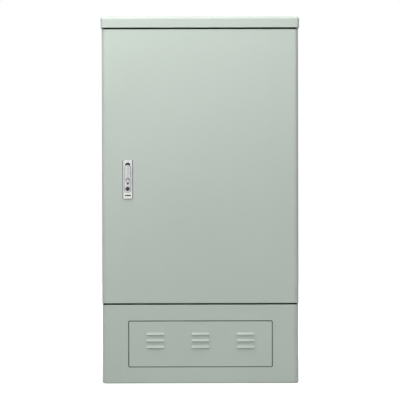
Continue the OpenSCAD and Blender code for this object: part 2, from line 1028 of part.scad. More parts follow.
module key_plug() {
    color("#3a3b3c")
    difference() {
        bar_y(lock_x, cylinder_z, plug_r, plug_front_y, plug_back_y - run_gap);
        box(lock_x - key_slot_w / 2, lock_x + key_slot_w / 2,
            plug_front_y - through, plug_front_y + key_slot_d,
            cylinder_z - key_slot_h / 2, cylinder_z + key_slot_h / 2);
    }
}

module release_button() {
    color("#c9cbcc")
    along_y(button_front_y, button_back_y)
        button_outline(0);
}

// Flat rod with a yoke slot at one end and a round tip at the other
module rod_outline(x, yoke_z, tip_z) {
    side = sign(tip_z - yoke_z);
    start = yoke_z - side * (yoke_rise + yoke_end);
    tip = tip_z - side * rod_w / 2;
    difference() {
        union() {
            translate([x - rod_w / 2, min(start, tip)])
                square([rod_w, abs(tip - start)]);
            translate([x, tip])
                circle(r = rod_w / 2);
        }
        translate([x, yoke_z])
            rounded_rect(2 * yoke_half, 2 * yoke_rise, yoke_rise - fit);
    }
}

module upper_rod() {
    color("#c2c5c6")
    along_y(rod_y0, rod_y1)
        rod_outline(upper_rod_x, spindle_z - crank_z, upper_tip_z);
}

module lower_rod() {
    color("#c2c5c6")
    along_y(rod_y0, rod_y1)
        rod_outline(lower_rod_x, spindle_z + crank_z, lower_tip_z);
}

module rod_guide(x, z) {
    half = rod_w / 2 + run_gap;
    color("#b3bdb5")
    difference() {
        box(x - half - guide_side, x + half + guide_side, door_in_y, rod_y1 + run_gap + guide_plate,
            z - guide_h / 2, z + guide_h / 2);
        box(x - half, x + half, rod_y0 - run_gap, rod_y1 + run_gap,
            z - guide_h / 2 - through, z + guide_h / 2 + through);
        box(x - half - guide_side + guide_plate, x + half + guide_side - guide_plate,
            door_in_y + guide_plate, rod_y0 - run_gap - guide_plate,
            z - guide_h / 2 - through, z + guide_h / 2 + through);
    }
}

module upper_rod_guide() {
    rod_guide(upper_rod_x, open_z1 - guide_in);
}

module lower_rod_guide() {
    rod_guide(lower_rod_x, open_z0 + guide_in);
}

// Wedge behind the sill or header that the rod slides up against
module keeper(x, z, side) {
    back = rod_y0 - keeper_gap;
    color("#c2c5c6")
    translate([x, 0, z])
        across_x(keeper_w)
            polygon([
                [header_back_y, 0],
                [header_back_y + keeper_nose, 0],
                [back, side * keeper_lead],
                [back, side * keeper_h],
                [header_back_y, side * keeper_h]
            ]);
}

module upper_keeper() {
    keeper(upper_rod_x, open_z1 + sheet, 1);
}

module lower_keeper() {
    keeper(lower_rod_x, open_z0 - sheet, -1);
}

// Rack

module upright_outline(x0, web_x) {
    translate([x0, rack_y])
        square([upright_w, upright_sheet]);
    translate([web_x, rack_y])
        square([upright_sheet, upright_d]);
    translate([x0, rack_y + upright_d - upright_sheet])
        square([upright_w, upright_sheet]);
}

module upright(x0, web_x, hole_x) {
    color("#b5b9ba")
    difference() {
        translate([0, 0, floor_z])
            linear_extrude(ceiling_z - floor_z)
                upright_outline(x0, web_x);
        for (side = [-1, 1])
            bar_y(hole_x, free_hole_z + side * rack_hole_h / 2, rack_hole_r,
                rack_y - through, rack_y + upright_sheet + through);
    }
}

module left_upright() {
    upright(left_x0, left_x0, rack_mid - rack_hole_w / 2);
}

module right_upright() {
    upright(right_x0, right_x0 + upright_w - upright_sheet, rack_mid + rack_hole_w / 2);
}

module patch_panel(i) {
    z0 = patch_top - i * patch_pitch - patch_h;
    z1 = z0 + patch_h;
    half = rack_half - patch_wall;
    back = rack_y + patch_d;
    color("#8f9596") {
        box(rack_mid - patch_w / 2, rack_mid + patch_w / 2, rack_y - patch_plate, rack_y, z0, z1);
        difference() {
            box(rack_mid - half, rack_mid + half, rack_y - patch_plate, back, z0, z1);
            box(rack_mid - half + patch_wall, rack_mid + half - patch_wall, rack_y, back - patch_wall,
                z0 + patch_wall, z1 - patch_wall);
        }
    }
}

module adapters(i) {
    mid = patch_top - i * patch_pitch - patch_h / 2;
    pitch = 2 * rack_half / adapter_cols;
    y1 = rack_y - patch_plate;
    color("#3f7f6c")
    for (col = [0:adapter_cols - 1], side = [-1, 1])
        translate([
            rack_mid + (col - (adapter_cols - 1) / 2) * pitch - adapter_w / 2,
            y1 - adapter_out,
            mid + side * (adapter_h + adapter_gap) / 2 - adapter_h / 2
        ])
            cube([adapter_w, adapter_out, adapter_h]);
}

// Spools and cable fixings

module spool_plate() {
    color("#b5b9ba") {
        box(spool_x0, inner_x, rack_y, rack_y + spool_sheet, spool_low, spool_top);
        box(inner_x - spool_sheet, inner_x, rack_y, rack_y + spool_lug, spool_low, spool_top);
    }
}

// Hollow drum with a back plate and a front flange cut to four ears
module slack_spool(i) {
    z = spool_top - spool_pitch / 2 - i * spool_pitch;
    front = rack_y - spool_len;
    color("#4c504f")
    difference() {
        union() {
            bar_y(spool_x, z, spool_r, front, rack_y);
            along_y(front, front + spool_flange_t)
                translate([spool_x, z])
                    intersection() {
                        circle(r = spool_r + spool_flange);
                        union() {
                            square([2 * spool_ear, spool_room], center = true);
                            square([spool_room, 2 * spool_ear], center = true);
                        }
                    }
        }
        bar_y(spool_x, z, spool_r - spool_wall, front - through, rack_y - spool_wall);
    }
}

module cable_clamp_bar() {
    color("#b5b9ba")
    box(-inner_x, inner_x, clamp_bar_y, clamp_bar_y + clamp_bar_t, clamp_bar_z, clamp_bar_z + clamp_bar_h);
}

module cable_clamps() {
    color("#2b2d2c")
    for (i = [0:clamp_count - 1])
        translate([(i - (clamp_count - 1) / 2) * clamp_pitch, clamp_bar_y - clamp_d, clamp_bar_z])
            difference() {
                translate([-clamp_w / 2, 0, 0])
                    cube([clamp_w, clamp_d, clamp_bar_h]);
                translate([0, 0, -through])
                    cylinder(r = clamp_groove_r, h = clamp_bar_h + 2 * through);
            }
}

module earth_bar() {
    y1 = inner_back_y - earth_off;
    color("#b3743f") {
        box(-earth_len / 2, earth_len / 2, y1 - earth_t, y1, earth_z, earth_z + earth_h);
        for (i = [-4:4])
            bar_y(i * earth_pitch, earth_z + earth_h / 2, earth_screw_r,
                y1 - earth_t - earth_screw_h, y1 - earth_t);
    }
}

module earth_standoffs() {
    color("#8a2f28")
    for (sx = [-1, 1])
        bar_y(sx * (earth_len / 2 - earth_h), earth_z + earth_h / 2, earth_foot_r,
            inner_back_y - earth_off, inner_back_y);
}

// Drawing

plinth_shell();
plinth_panel();
panel_wing_nuts();
carcass_wrap();
top_panel();
floor_panel();
roof_cap();
roof_bolts();
plinth_bolts();
hinge_bracket(0);  // hinge_bracket_1
hinge_bracket(1);  // hinge_bracket_2
hinge_bracket(2);  // hinge_bracket_3
hinge_pin(0);  // hinge_pin_1
hinge_pin(1);  // hinge_pin_2
hinge_pin(2);  // hinge_pin_3
upper_keeper();
lower_keeper();
left_upright();
right_upright();
patch_panel(0);  // patch_panel_1
patch_panel(1);  // patch_panel_2
patch_panel(2);  // patch_panel_3
patch_panel(3);  // patch_panel_4
adapters(0);  // adapters_1
adapters(1);  // adapters_2
adapters(2);  // adapters_3
adapters(3);  // adapters_4
spool_plate();
slack_spool(0);  // slack_spool_1
slack_spool(1);  // slack_spool_2
slack_spool(2);  // slack_spool_3
slack_spool(3);  // slack_spool_4
cable_clamp_bar();
cable_clamps();
earth_bar();
earth_standoffs();
floor_grommets();
door_panel();
door_gasket();
door_stiffener();
document_pocket();
hinge_leaf(0);  // hinge_leaf_1
hinge_leaf(1);  // hinge_leaf_2
hinge_leaf(2);  // hinge_leaf_3
lock_housing();
lock_frame();
upper_rod_guide();
lower_rod_guide();
lock_spindle();
lock_cam();
cam_screw();
swing_handle();
handle_pin();
lock_cylinder();
key_plug();
release_button();
upper_rod();
lower_rod();
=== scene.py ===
import json
import math

import bmesh
import bpy
from mathutils import Matrix, Vector


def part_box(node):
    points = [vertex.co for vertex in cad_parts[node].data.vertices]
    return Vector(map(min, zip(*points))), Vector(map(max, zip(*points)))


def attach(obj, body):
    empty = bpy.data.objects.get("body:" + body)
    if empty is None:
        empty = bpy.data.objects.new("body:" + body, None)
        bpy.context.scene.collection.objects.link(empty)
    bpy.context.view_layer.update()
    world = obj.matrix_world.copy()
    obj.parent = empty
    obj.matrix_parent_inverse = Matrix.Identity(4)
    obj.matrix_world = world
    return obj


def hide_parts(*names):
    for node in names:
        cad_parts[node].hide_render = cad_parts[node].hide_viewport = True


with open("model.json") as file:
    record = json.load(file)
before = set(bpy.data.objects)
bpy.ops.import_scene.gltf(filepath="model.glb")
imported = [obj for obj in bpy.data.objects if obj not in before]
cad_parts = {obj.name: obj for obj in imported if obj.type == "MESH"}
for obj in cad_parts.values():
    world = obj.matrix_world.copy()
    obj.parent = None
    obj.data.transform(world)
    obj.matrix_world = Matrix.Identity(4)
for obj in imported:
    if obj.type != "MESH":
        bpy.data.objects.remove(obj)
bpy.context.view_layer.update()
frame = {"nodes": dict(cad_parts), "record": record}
nodes = frame["nodes"]
slotOfNode = {part["node"]: part["material_slot"] for part in frame["record"]["subparts"]}
bodyOfNode = {}
for bodyName, members in frame["record"]["behaviour"]["bodies"].items():
    for member in members:
        bodyOfNode[member] = bodyName
print("frame loaded:", len(nodes), "nodes")


# Node helpers for the materials

def startMaterial(name):
    material = bpy.data.materials.new(name)
    material.use_nodes = True
    tree = material.node_tree
    shader = tree.nodes["Principled BSDF"]
    coords = tree.nodes.new("ShaderNodeTexCoord")
    return material, tree, shader, coords.outputs["Object"]


def stretched(tree, coords, scale):
    mapping = tree.nodes.new("ShaderNodeMapping")
    mapping.inputs["Scale"].default_value = scale
    tree.links.new(coords, mapping.inputs["Vector"])
    return mapping.outputs["Vector"]


def noise(tree, coords, scale, detail=2.0, rough=0.5):
    texture = tree.nodes.new("ShaderNodeTexNoise")
    texture.inputs["Scale"].default_value = scale
    texture.inputs["Detail"].default_value = detail
    texture.inputs["Roughness"].default_value = rough
    tree.links.new(coords, texture.inputs["Vector"])
    return texture.outputs["Fac"]


def combined(tree, operation, first, second):
    node = tree.nodes.new("ShaderNodeMath")
    node.operation = operation
    tree.links.new(first, node.inputs[0])
    tree.links.new(second, node.inputs[1])
    return node.outputs["Value"]


def ranged(tree, value, low, high, fromLow=0.3, fromHigh=0.7):  # most of a noise lies between 0.3 and 0.7
    node = tree.nodes.new("ShaderNodeMapRange")
    node.inputs["From Min"].default_value = fromLow
    node.inputs["From Max"].default_value = fromHigh
    node.inputs["To Min"].default_value = low
    node.inputs["To Max"].default_value = high
    tree.links.new(value, node.inputs["Value"])
    return node.outputs["Result"]


def blended(tree, factor, first, second):
    mix = tree.nodes.new("ShaderNodeMix")
    mix.data_type = "RGBA"
    ends = [socket for socket in mix.inputs if socket.type == "RGBA"]
    ends[0].default_value = (*first, 1)
    ends[1].default_value = (*second, 1)
    tree.links.new(factor, mix.inputs["Factor"])
    return next(socket for socket in mix.outputs if socket.type == "RGBA")


def shade(color, factor):
    return tuple(min(1.0, channel * factor) for channel in color)


def tinted(tree, shader, factor, color, dark, light):
    tree.links.new(blended(tree, factor, shade(color, dark), shade(color, light)), shader.inputs["Base Color"])


def roughened(tree, shader, value, low, high):
    tree.links.new(ranged(tree, value, low, high), shader.inputs["Roughness"])


def bumped(tree, shader, height, strength, distance):
    bump = tree.nodes.new("ShaderNodeBump")
    bump.inputs["Strength"].default_value = strength
    bump.inputs["Distance"].default_value = distance
    tree.links.new(height, bump.inputs["Height"])
    tree.links.new(bump.outputs["Normal"], shader.inputs["Normal"])


# Finishes: one for each slot of the record, and two more for single pieces

powderCoat = dict(color=(0.455, 0.512, 0.466), drift=0.02, roughLow=0.40, roughHigh=0.50, peel=420, depth=0.10)
panelCoat = dict(color=(0.33, 0.35, 0.36), drift=0.03, roughLow=0.38, roughHigh=0.48, peel=520, depth=0.10)
coating = dict(cloud=2.2, patch=7, gloss=0.45, height=0.0005)


def makePowderCoat(name, finish):
    material, tree, shader, coords = startMaterial(name)
    cloud = ranged(tree, noise(tree, coords, coating["cloud"], 3), 0, 1)
    tinted(tree, shader, cloud, finish["color"], 1 - finish["drift"], 1 + finish["drift"])
    patch = noise(tree, coords, coating["patch"], 4)
    roughened(tree, shader, patch, finish["roughLow"], finish["roughHigh"])
    shader.inputs["Specular IOR Level"].default_value = coating["gloss"]
    peel = noise(tree, coords, finish["peel"], 3, 0.6)  # orange peel
    bumped(tree, shader, peel, finish["depth"], coating["height"])
    return material


zincPlate = dict(color=(0.43, 0.45, 0.46), dark=0.88, light=1.1, spangle=160, cloud=40, spread=(0.05, 0.35),
                 roughLow=0.32, roughHigh=0.46)


def makeZinc(name, finish):
    material, tree, shader, coords = startMaterial(name)
    cells = tree.nodes.new("ShaderNodeTexVoronoi")
    cells.inputs["Scale"].default_value = finish["spangle"]
    tree.links.new(coords, cells.inputs["Vector"])
    cloud = noise(tree, coords, finish["cloud"], 3)
    spangle = combined(tree, "MULTIPLY", cells.outputs["Distance"], cloud)
    tinted(tree, shader, ranged(tree, spangle, 0, 1, *finish["spread"]), finish["color"], finish["dark"],
           finish["light"])
    roughened(tree, shader, cloud, finish["roughLow"], finish["roughHigh"])
    shader.inputs["Metallic"].default_value = 1.0
    return material


satinChrome = dict(color=(0.70, 0.72, 0.70), rough=0.24)
handleNickel = dict(color=(0.55, 0.555, 0.56), rough=0.22)
bareCopper = dict(color=(0.47, 0.25, 0.165), rough=0.36)
brushing = dict(grain=(900, 900, 40), dark=0.94, light=1.04, smoother=0.05, rougher=0.07, depth=0.05, height=0.0002)


def makeChrome(name, finish):
    material, tree, shader, coords = startMaterial(name)
    brushed = noise(tree, stretched(tree, coords, brushing["grain"]), 1, 3)
    tinted(tree, shader, ranged(tree, brushed, 0, 1), finish["color"], brushing["dark"], brushing["light"])
    roughened(tree, shader, brushed, finish["rough"] - brushing["smoother"], finish["rough"] + brushing["rougher"])
    shader.inputs["Metallic"].default_value = 1.0
    bumped(tree, shader, brushed, brushing["depth"], brushing["height"])
    return material


blackRubber = dict(color=(0.022, 0.022, 0.023), rough=0.72, gloss=0.3, grain=700, depth=0.15)
blackPlastic = dict(color=(0.030, 0.031, 0.032), rough=0.48, gloss=0.45, grain=1200, depth=0.12)
# Near-black dull foam for the strips that stand in for the shade in gaps and slots: painted shade
paintedShadeFoam = dict(color=(0.010, 0.010, 0.011), rough=0.9, gloss=0.05, grain=900, depth=0.2)
adapterPlastic = dict(color=(0.05, 0.30, 0.19), rough=0.38, gloss=0.5, grain=1500, depth=0.05)
insulatorPlastic = dict(color=(0.40, 0.045, 0.035), rough=0.28, gloss=0.5, grain=400, depth=0.05)
moulding = dict(cloud=30, dark=0.88, light=1.12, smoother=0.05, rougher=0.06, height=0.0004)


def makeMoulded(name, finish):
    material, tree, shader, coords = startMaterial(name)
    cloud = noise(tree, coords, moulding["cloud"], 3)
    tinted(tree, shader, ranged(tree, cloud, 0, 1), finish["color"], moulding["dark"], moulding["light"])
    roughened(tree, shader, cloud, finish["rough"] - moulding["smoother"], finish["rough"] + moulding["rougher"])
    shader.inputs["Specular IOR Level"].default_value = finish["gloss"]
    bumped(tree, shader, noise(tree, coords, finish["grain"], 2), finish["depth"], moulding["height"])
    return material


finishes = {
    "body_paint": makePowderCoat("powderCoat", powderCoat),
    "zinc_steel": makeZinc("zincPlate", zincPlate),
    "lock_chrome": makeChrome("satinChrome", satinChrome),
    "black_rubber": makeMoulded("blackRubber", blackRubber),
    "black_plastic": makeMoulded("blackPlastic", blackPlastic),
    "panel_grey": makePowderCoat("panelCoat", panelCoat),
    "adapter_green": makeMoulded("adapterPlastic", adapterPlastic),
    "copper": makeChrome("bareCopper", bareCopper),
    "insulator_red": makeMoulded("insulatorPlastic", insulatorPlastic),
}
nickelFinish = makeChrome("handleNickel", handleNickel)
# the near-black foam finish, painted shade for gaps and slots
paintedShadeFinish = makeMoulded("paintedShadeFoam", paintedShadeFoam)

for name, node in nodes.items():
    node.data.materials.clear()
    node.data.materials.append(finishes[slotOfNode[name]])
print("finishes set:", len(finishes))


# Tools shared by the pieces

sharpAngle = math.radians(40)
flatAngle = math.radians(0.6)
mergeDistance = 0.00001
weldDistance = 0.00002
closeBy = 0.0001


def finishPiece(shape, name, body, slot, replaced=(), finish=None):
    mesh = bpy.data.meshes.new(name)
    shape.to_mesh(mesh)
    shape.free()
    mesh.polygons.foreach_set("use_smooth", [True] * len(mesh.polygons))
    mesh.set_sharp_from_angle(angle=sharpAngle)
    mesh.materials.append(finish or finishes[slot])
    piece = bpy.data.objects.new(name, mesh)
    bpy.context.scene.collection.objects.link(piece)
    flat = piece.modifiers.new("flatFaces", "WEIGHTED_NORMAL")
    flat.keep_sharp = True
    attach(piece, body)
    if replaced:
        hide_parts(*replaced)


def mergedCopy(nodeName):
    shape = bmesh.new()
    shape.from_mesh(nodes[nodeName].data)
    bmesh.ops.remove_doubles(shape, verts=shape.verts, dist=mergeDistance)
    bmesh.ops.dissolve_limit(shape, angle_limit=flatAngle, verts=shape.verts, edges=shape.edges)
    return shape


def bevelEdges(shape, edges, radius, segments, clamp=True):
    bmesh.ops.bevel(shape, geom=edges, offset=radius, offset_type="OFFSET", segments=segments, profile=0.5,
                    affect="EDGES", clamp_overlap=clamp, material=-1)


def roundEdges(shape, radius, segments, fits=None, clamp=True):
    sharp = []
    for edge in shape.edges:
        if not edge.is_manifold or not edge.is_convex or edge.calc_face_angle(0) < sharpAngle:
            continue
        if fits is None or fits(edge):
            sharp.append(edge)
    bevelEdges(shape, sharp, radius, segments, clamp)


def addBlock(shape, low, high, radius):
    made = bmesh.ops.create_cube(shape, size=1)["verts"]
    size = Vector(high) - Vector(low)
    bmesh.ops.scale(shape, vec=size, verts=made)
    bmesh.ops.translate(shape, vec=Vector(low) + size / 2, verts=made)
    bevelEdges(shape, list({edge for vert in made for edge in vert.link_edges}), radius, 2)


def pushedLoop(shape, centre, radius, segments, up=0.0, down=0.0, side=0.0, taper=1.0):
    turn = Matrix.Translation(centre) @ Matrix.Rotation(math.radians(90), 4, "X")
    made = bmesh.ops.create_circle(shape, cap_ends=False, segments=segments, radius=radius, matrix=turn)["verts"]
    upper = [vert for vert in made if vert.co.z > centre[2]]
    lower = [vert for vert in made if vert.co.z <= centre[2]]
    right = [vert for vert in made if vert.co.x > centre[0]]
    left = [vert for vert in made if vert.co.x <= centre[0]]
    middle = Matrix.Translation(-centre)
    bmesh.ops.scale(shape, vec=(taper, 1, 1), space=middle, verts=lower)
    bmesh.ops.translate(shape, vec=(0, 0, up), verts=upper)
    bmesh.ops.translate(shape, vec=(0, 0, -down), verts=lower)
    bmesh.ops.translate(shape, vec=(side, 0, 0), verts=right)
    bmesh.ops.translate(shape, vec=(-side, 0, 0), verts=left)
    return made


def ringShape(centre, segments, sections):  # each section: how far out, radius, and the pushes of its loop
    shape = bmesh.new()
    loops = []
    for out, radius, *pushes in sections:
        loops.append(pushedLoop(shape, centre - Vector((0, out, 0)), radius, segments, *pushes))
    for first, second in zip(loops, loops[1:] + loops[:1]):  # vertex to vertex, so that long runs don't twist
        for place in range(len(first)):
            shape.faces.new((first[place - 1], first[place], second[place], second[place - 1]))
    bmesh.ops.recalc_face_normals(shape, faces=shape.faces)
    return shape


def frontCentre(low, high, front):
    return Vector(((low[0] + high[0]) / 2, front, (low[2] + high[2]) / 2))


# Folded, cast and moulded pieces: the CAD shape with the small edge radius that each has, in millimetres

edgeRadius = dict(
    door_panel=0.8, plinth_panel=0.8, plinth_shell=0.7, roof_cap=0.8,
    carcass_wrap=0.7, top_panel=0.7, floor_panel=0.7,
    door_stiffener=0.6, document_pocket=0.8, spool_plate=0.6, cable_clamp_bar=0.8,
    left_upright=0.5, right_upright=0.5,
    upper_rod_guide=0.8, lower_rod_guide=0.8, upper_keeper=0.8, lower_keeper=0.8,
    lock_housing=0.35, lock_frame=0.6, lock_spindle=0.5, lock_cam=0.5, cam_screw=0.4,
    swing_handle=0.5, handle_pin=0.3, lock_cylinder=0.8, key_plug=0.3, release_button=0.9,
    upper_rod=0.5, lower_rod=0.6,
    earth_bar=0.7, earth_standoffs=1.0, cable_clamps=1.5,
    panel_wing_nuts=0.6, plinth_bolts=0.7, roof_bolts=0.7,
)
numberedRadius = dict(hinge_bracket=(3, 0.6), hinge_leaf=(3, 0.6), hinge_pin=(3, 0.6), patch_panel=(4, 0.7),
                      slack_spool=(4, 1.2))
for stem, (count, radius) in numberedRadius.items():
    for number in range(1, count + 1):
        edgeRadius["%s_%d" % (stem, number)] = radius

# Nodes whose fine facets would stop a clamped bevel
fineFacets = ("swing_handle", "lock_housing", "left_upright", "right_upright", "upper_rod")
nickelNodes = ("swing_handle", "release_button")
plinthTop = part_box("plinth_shell")[1][2]
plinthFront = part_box("plinth_shell")[0][1]
foldRadius = {  # folds that catch the light, by node: axis, plane and radius in millimetres
    "plinth_panel": [(1, plinthFront, 2.2)],
    "plinth_shell": [(2, plinthTop, 2.4), (1, plinthFront, 1.5)],
    "roof_cap": [(2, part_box("roof_cap")[0][2], 0.9)],
}
rounding = dict(foldSegments=4, edgeSegments=3, offPlane=0.0002)


def liesIn(axis, plane):
    return lambda edge: all(abs(vert.co[axis] - plane) < rounding["offPlane"] for vert in edge.verts)


# The photo's upright front folds are wider than the pressed radius of the sheet: each fold is opened out
uprightFold = dict(pressed=0.008, across=0.019, deep=0.0145, endRound=0.0045, hub=0.0005, skin=0.0003,
                   nodes=("door_panel", "plinth_shell"))


def openFold(shape, nodeName, fold):
    low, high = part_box(nodeName)
    for side, turn in ((low[0], 1), (high[0], -1)):
        pressed = Vector((side + turn * fold["pressed"], low[1] + fold["pressed"]))
        opened = Vector((side + turn * fold["across"], low[1] + fold["deep"]))
        for vert in shape.verts:
            spoke = Vector((vert.co.x, vert.co.y)) - pressed
            if spoke.x * turn > mergeDistance or spoke.y > mergeDistance or spoke.length < fold["hub"]:
                continue
            inside = spoke.length - fold["pressed"]
            away = spoke.normalized()
            spot = opened + Vector((away.x * (fold["across"] + inside), away.y * (fold["deep"] + inside)))
            depth = min(spot.y - low[1], fold["endRound"])
            onSkin = spoke.length > fold["pressed"] - fold["skin"]
            vert.co.x, vert.co.y = spot
            if nodeName == "door_panel" and onSkin:  # the skin's ends stay on the rounded upper and lower edges
                rise = fold["endRound"] - math.sqrt(fold["endRound"] ** 2 - (fold["endRound"] - depth) ** 2)
                vert.co.z = low[2] + rise if vert.co.z < (low[2] + high[2]) / 2 else high[2] - rise


# Pressed louvres: flush at the top, bending out more and more towards the lip, and a little higher than the solid
louvrePress = dict(lips=(0.134, 0.159, 0.184), pressed=0.0125, sheet=0.0015, tall=0.0102, topFrom=0.009,
                   out=0.0046, bend=1.5, longer=1.08, lift=0.0023, liftBelow=0.001, liftAbove=0.0112)


def pressLouvres(shape, press):
    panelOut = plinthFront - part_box("plinth_panel")[0][1]
    for vert in shape.verts:
        lip = max((level for level in press["lips"] if level < vert.co.z + closeBy), default=None)
        if lip is None or vert.co.z - lip > press["tall"] or vert.co.y > plinthFront + closeBy:
            continue
        up = vert.co.z - lip
        spread = math.hypot(plinthFront - vert.co.y + press["pressed"] - panelOut, up)
        outer = spread > press["pressed"] - press["sheet"] / 2
        if plinthFront - vert.co.y < closeBy and not (outer and up > press["topFrom"]):
            continue
        reach = press["pressed"] if outer else press["pressed"] - press["sheet"]
        top = math.sqrt(reach ** 2 - (press["pressed"] - panelOut) ** 2)
        share = max(0.0, 1 - up / top)
        out = press["out"] if outer else press["out"] - press["sheet"]
        vert.co.y = plinthFront - out * share ** press["bend"]
        if outer:
            vert.co.z = lip + up * press["longer"]
    pressed = [vert for vert in shape.verts
               if any(-press["liftBelow"] < vert.co.z - lip < press["liftAbove"] for lip in press["lips"])]
    bmesh.ops.translate(shape, vec=(0, 0, press["lift"]), verts=pressed)
    bmesh.ops.remove_doubles(shape, verts=shape.verts, dist=mergeDistance)


# The drain slot in the lock plate sits a little higher on the photo's lock
slotSettings = dict(up=0.0105, lift=0.0017, cutReach=0.0118, cutRise=0.0022, wide=0.0228, tall=0.0039, setBack=0.0003,
                    deep=0.0012, corner=0.0003)


def liftSlot(shape, settings):
    low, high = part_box("lock_housing")
    middle = (low[0] + high[0]) / 2
    level = low[2] + settings["up"]
    slot = [vert for vert in shape.verts
            if abs(vert.co.x - middle) < settings["cutReach"] and abs(vert.co.z - level) < settings["cutRise"]]
    bmesh.ops.translate(shape, vec=(0, 0, settings["lift"]), verts=slot)


for nodeName, radius in edgeRadius.items():
    shape = mergedCopy(nodeName)
    if nodeName in uprightFold["nodes"]:
        openFold(shape, nodeName, uprightFold)
    if nodeName == "plinth_panel":
        pressLouvres(shape, louvrePress)
    if nodeName == "lock_housing":
        liftSlot(shape, slotSettings)
    for axis, plane, fold in foldRadius.get(nodeName, ()):
        roundEdges(shape, fold / 1000, rounding["foldSegments"], liesIn(axis, plane))
    roundEdges(shape, radius / 1000, rounding["edgeSegments"], clamp=nodeName not in fineFacets)
    bmesh.ops.remove_doubles(shape, verts=shape.verts, dist=weldDistance)
    finish = nickelFinish if nodeName in nickelNodes else None
    finishPiece(shape, "soft_" + nodeName, bodyOfNode[nodeName], slotOfNode[nodeName], (nodeName,), finish)
print("edges rounded on", len(edgeRadius), "pieces")


# Door seal: a soft section, round where it meets the rain lip

sealSettings = dict(roundness=0.0052, segments=5)


def makeDoorSeal(settings):
    low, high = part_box("door_gasket")
    middle = (low[1] + high[1]) / 2
    shape = mergedCopy("door_gasket")
    roundEdges(shape, settings["roundness"], settings["segments"],
               lambda edge: min(vert.co.y for vert in edge.verts) > middle)
    finishPiece(shape, "doorSeal", "door", "black_rubber", ("door_gasket",))


makeDoorSeal(sealSettings)
print("door seal made")


# Black foam strip in the gap round the access panel: a near-black strip that stands in for the shade in the gap,
# painted shade

panelGapShadeSettings = dict(gap=0.003, sheet=0.002, thick=0.0008, corner=0.003, tabs=0.015, segments=32)


def makePanelGapShade(settings):
    low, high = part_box("plinth_panel")
    gap, thick, corner = settings["gap"], settings["thick"], settings["corner"]
    tabs = settings["tabs"] + gap  # the panel's tabs reach behind the sheet
    centre = Vector((0, plinthFront + settings["sheet"], (low[2] + high[2]) / 2))
    side = (high[0] - low[0]) / 2 - corner
    up = (high[2] - low[2]) / 2 - tabs - corner
    sections = [(out, corner + grow, up, up, side) for grow, out in ((0, 0), (0, thick), (gap, thick), (gap, 0))]
    shape = ringShape(centre, settings["segments"], sections)
    finishPiece(shape, "panelGapShade", "cabinet", "black_rubber", finish=paintedShadeFinish)


makePanelGapShade(panelGapShadeSettings)
print("panel seal made")


# Black foam strips behind the gaps above and below the door: near-black strips that stand in for the shade in these
# gaps, painted shade

doorGapShadeSettings = dict(thick=0.0015, lowTall=0.0054, highTall=0.0087, clear=0.0003, fromSide=0.006, corner=0.0004)


def makeDoorGapShades(settings):
    low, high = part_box("carcass_wrap")
    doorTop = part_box("door_panel")[1][2]
    shape = bmesh.new()
    for start, tall in ((low[2], settings["lowTall"]), (doorTop, settings["highTall"])):
        level = start + settings["clear"]
        addBlock(shape, (low[0] + settings["fromSide"], low[1] - settings["thick"], level),
                 (high[0] - settings["fromSide"], low[1], level + tall), settings["corner"])
    finishPiece(shape, "doorGapShades", "cabinet", "black_rubber", finish=paintedShadeFinish)


makeDoorGapShades(doorGapShadeSettings)
print("draught strips made")


# Floor grommets: a ribbed membrane between two lips

grommetSettings = dict(count=6, steps=40, lipShare=0.4, neckShare=0.815, rimShare=0.95, flareShare=0.75, filmDrop=0.8,
                       ribs=(0.26, 0.56), ribHalf=0.06, ribRise=0.4, flareRise=0.2, upperRound=0.35, lowerRound=0.3,
                       underside=0.6)


def grommetProfile(settings, outer, low, high):
    lip = (high - low) * settings["lipShare"]
    neck = outer * settings["neckShare"]
    rim = outer * settings["rimShare"]
    flare = outer * settings["flareShare"]
    film = high - lip * settings["filmDrop"]
    under = low + lip * settings["underside"]
    points = [(0, film)]
    for share in settings["ribs"]:
        points += [(outer * (share - settings["ribHalf"]), film), (outer * share, film + lip * settings["ribRise"]),
                   (outer * (share + settings["ribHalf"]), film)]
    points += [(flare, film + lip * settings["flareRise"]), (neck, high), (rim, high)]
    points += [(outer, high - lip * settings["upperRound"]), (outer, high - lip), (neck, high - lip)]
    points += [(neck, low + lip), (outer, low + lip), (outer, low + lip * settings["lowerRound"])]
    return points + [(rim, low), (neck, low), (flare, under), (0, under)]


def makeGrommets(settings):
    low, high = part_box("floor_grommets")
    outer = (high[1] - low[1]) / 2
    pitch = (high[0] - low[0] - 2 * outer) / (settings["count"] - 1)
    profile = grommetProfile(settings, outer, low[2], high[2])
    shape = bmesh.new()
    for number in range(settings["count"]):
        centre = Vector((low[0] + outer + number * pitch, (low[1] + high[1]) / 2, 0))
        verts = [shape.verts.new(centre + Vector((radius, 0, z))) for radius, z in profile]
        edges = [shape.edges.new(pair) for pair in zip(verts, verts[1:])]
        bmesh.ops.spin(shape, geom=verts + edges, cent=centre, axis=(0, 0, 1), angle=math.tau,
                       steps=settings["steps"], use_merge=True)
    bmesh.ops.remove_doubles(shape, verts=shape.verts, dist=weldDistance)
    bmesh.ops.recalc_face_normals(shape, faces=shape.faces)
    finishPiece(shape, "membraneGrommets", "cabinet", "black_rubber", ("floor_grommets",))


makeGrommets(grommetSettings)
print("grommets made")


# Patch panel adapters: a flange, a body and two dust plugs each

adapterSettings = dict(panels=4, columns=12, rows=2, width=0.022, height=0.034, flange=0.002, flangeRound=0.0005,
                       bodyShare=0.83, bodyIn=0.0005, bodyRound=0.0008, plugWide=0.64, plugTall=0.32, plugOut=0.0025,
                       plugIn=0.001, plugRound=0.0006)


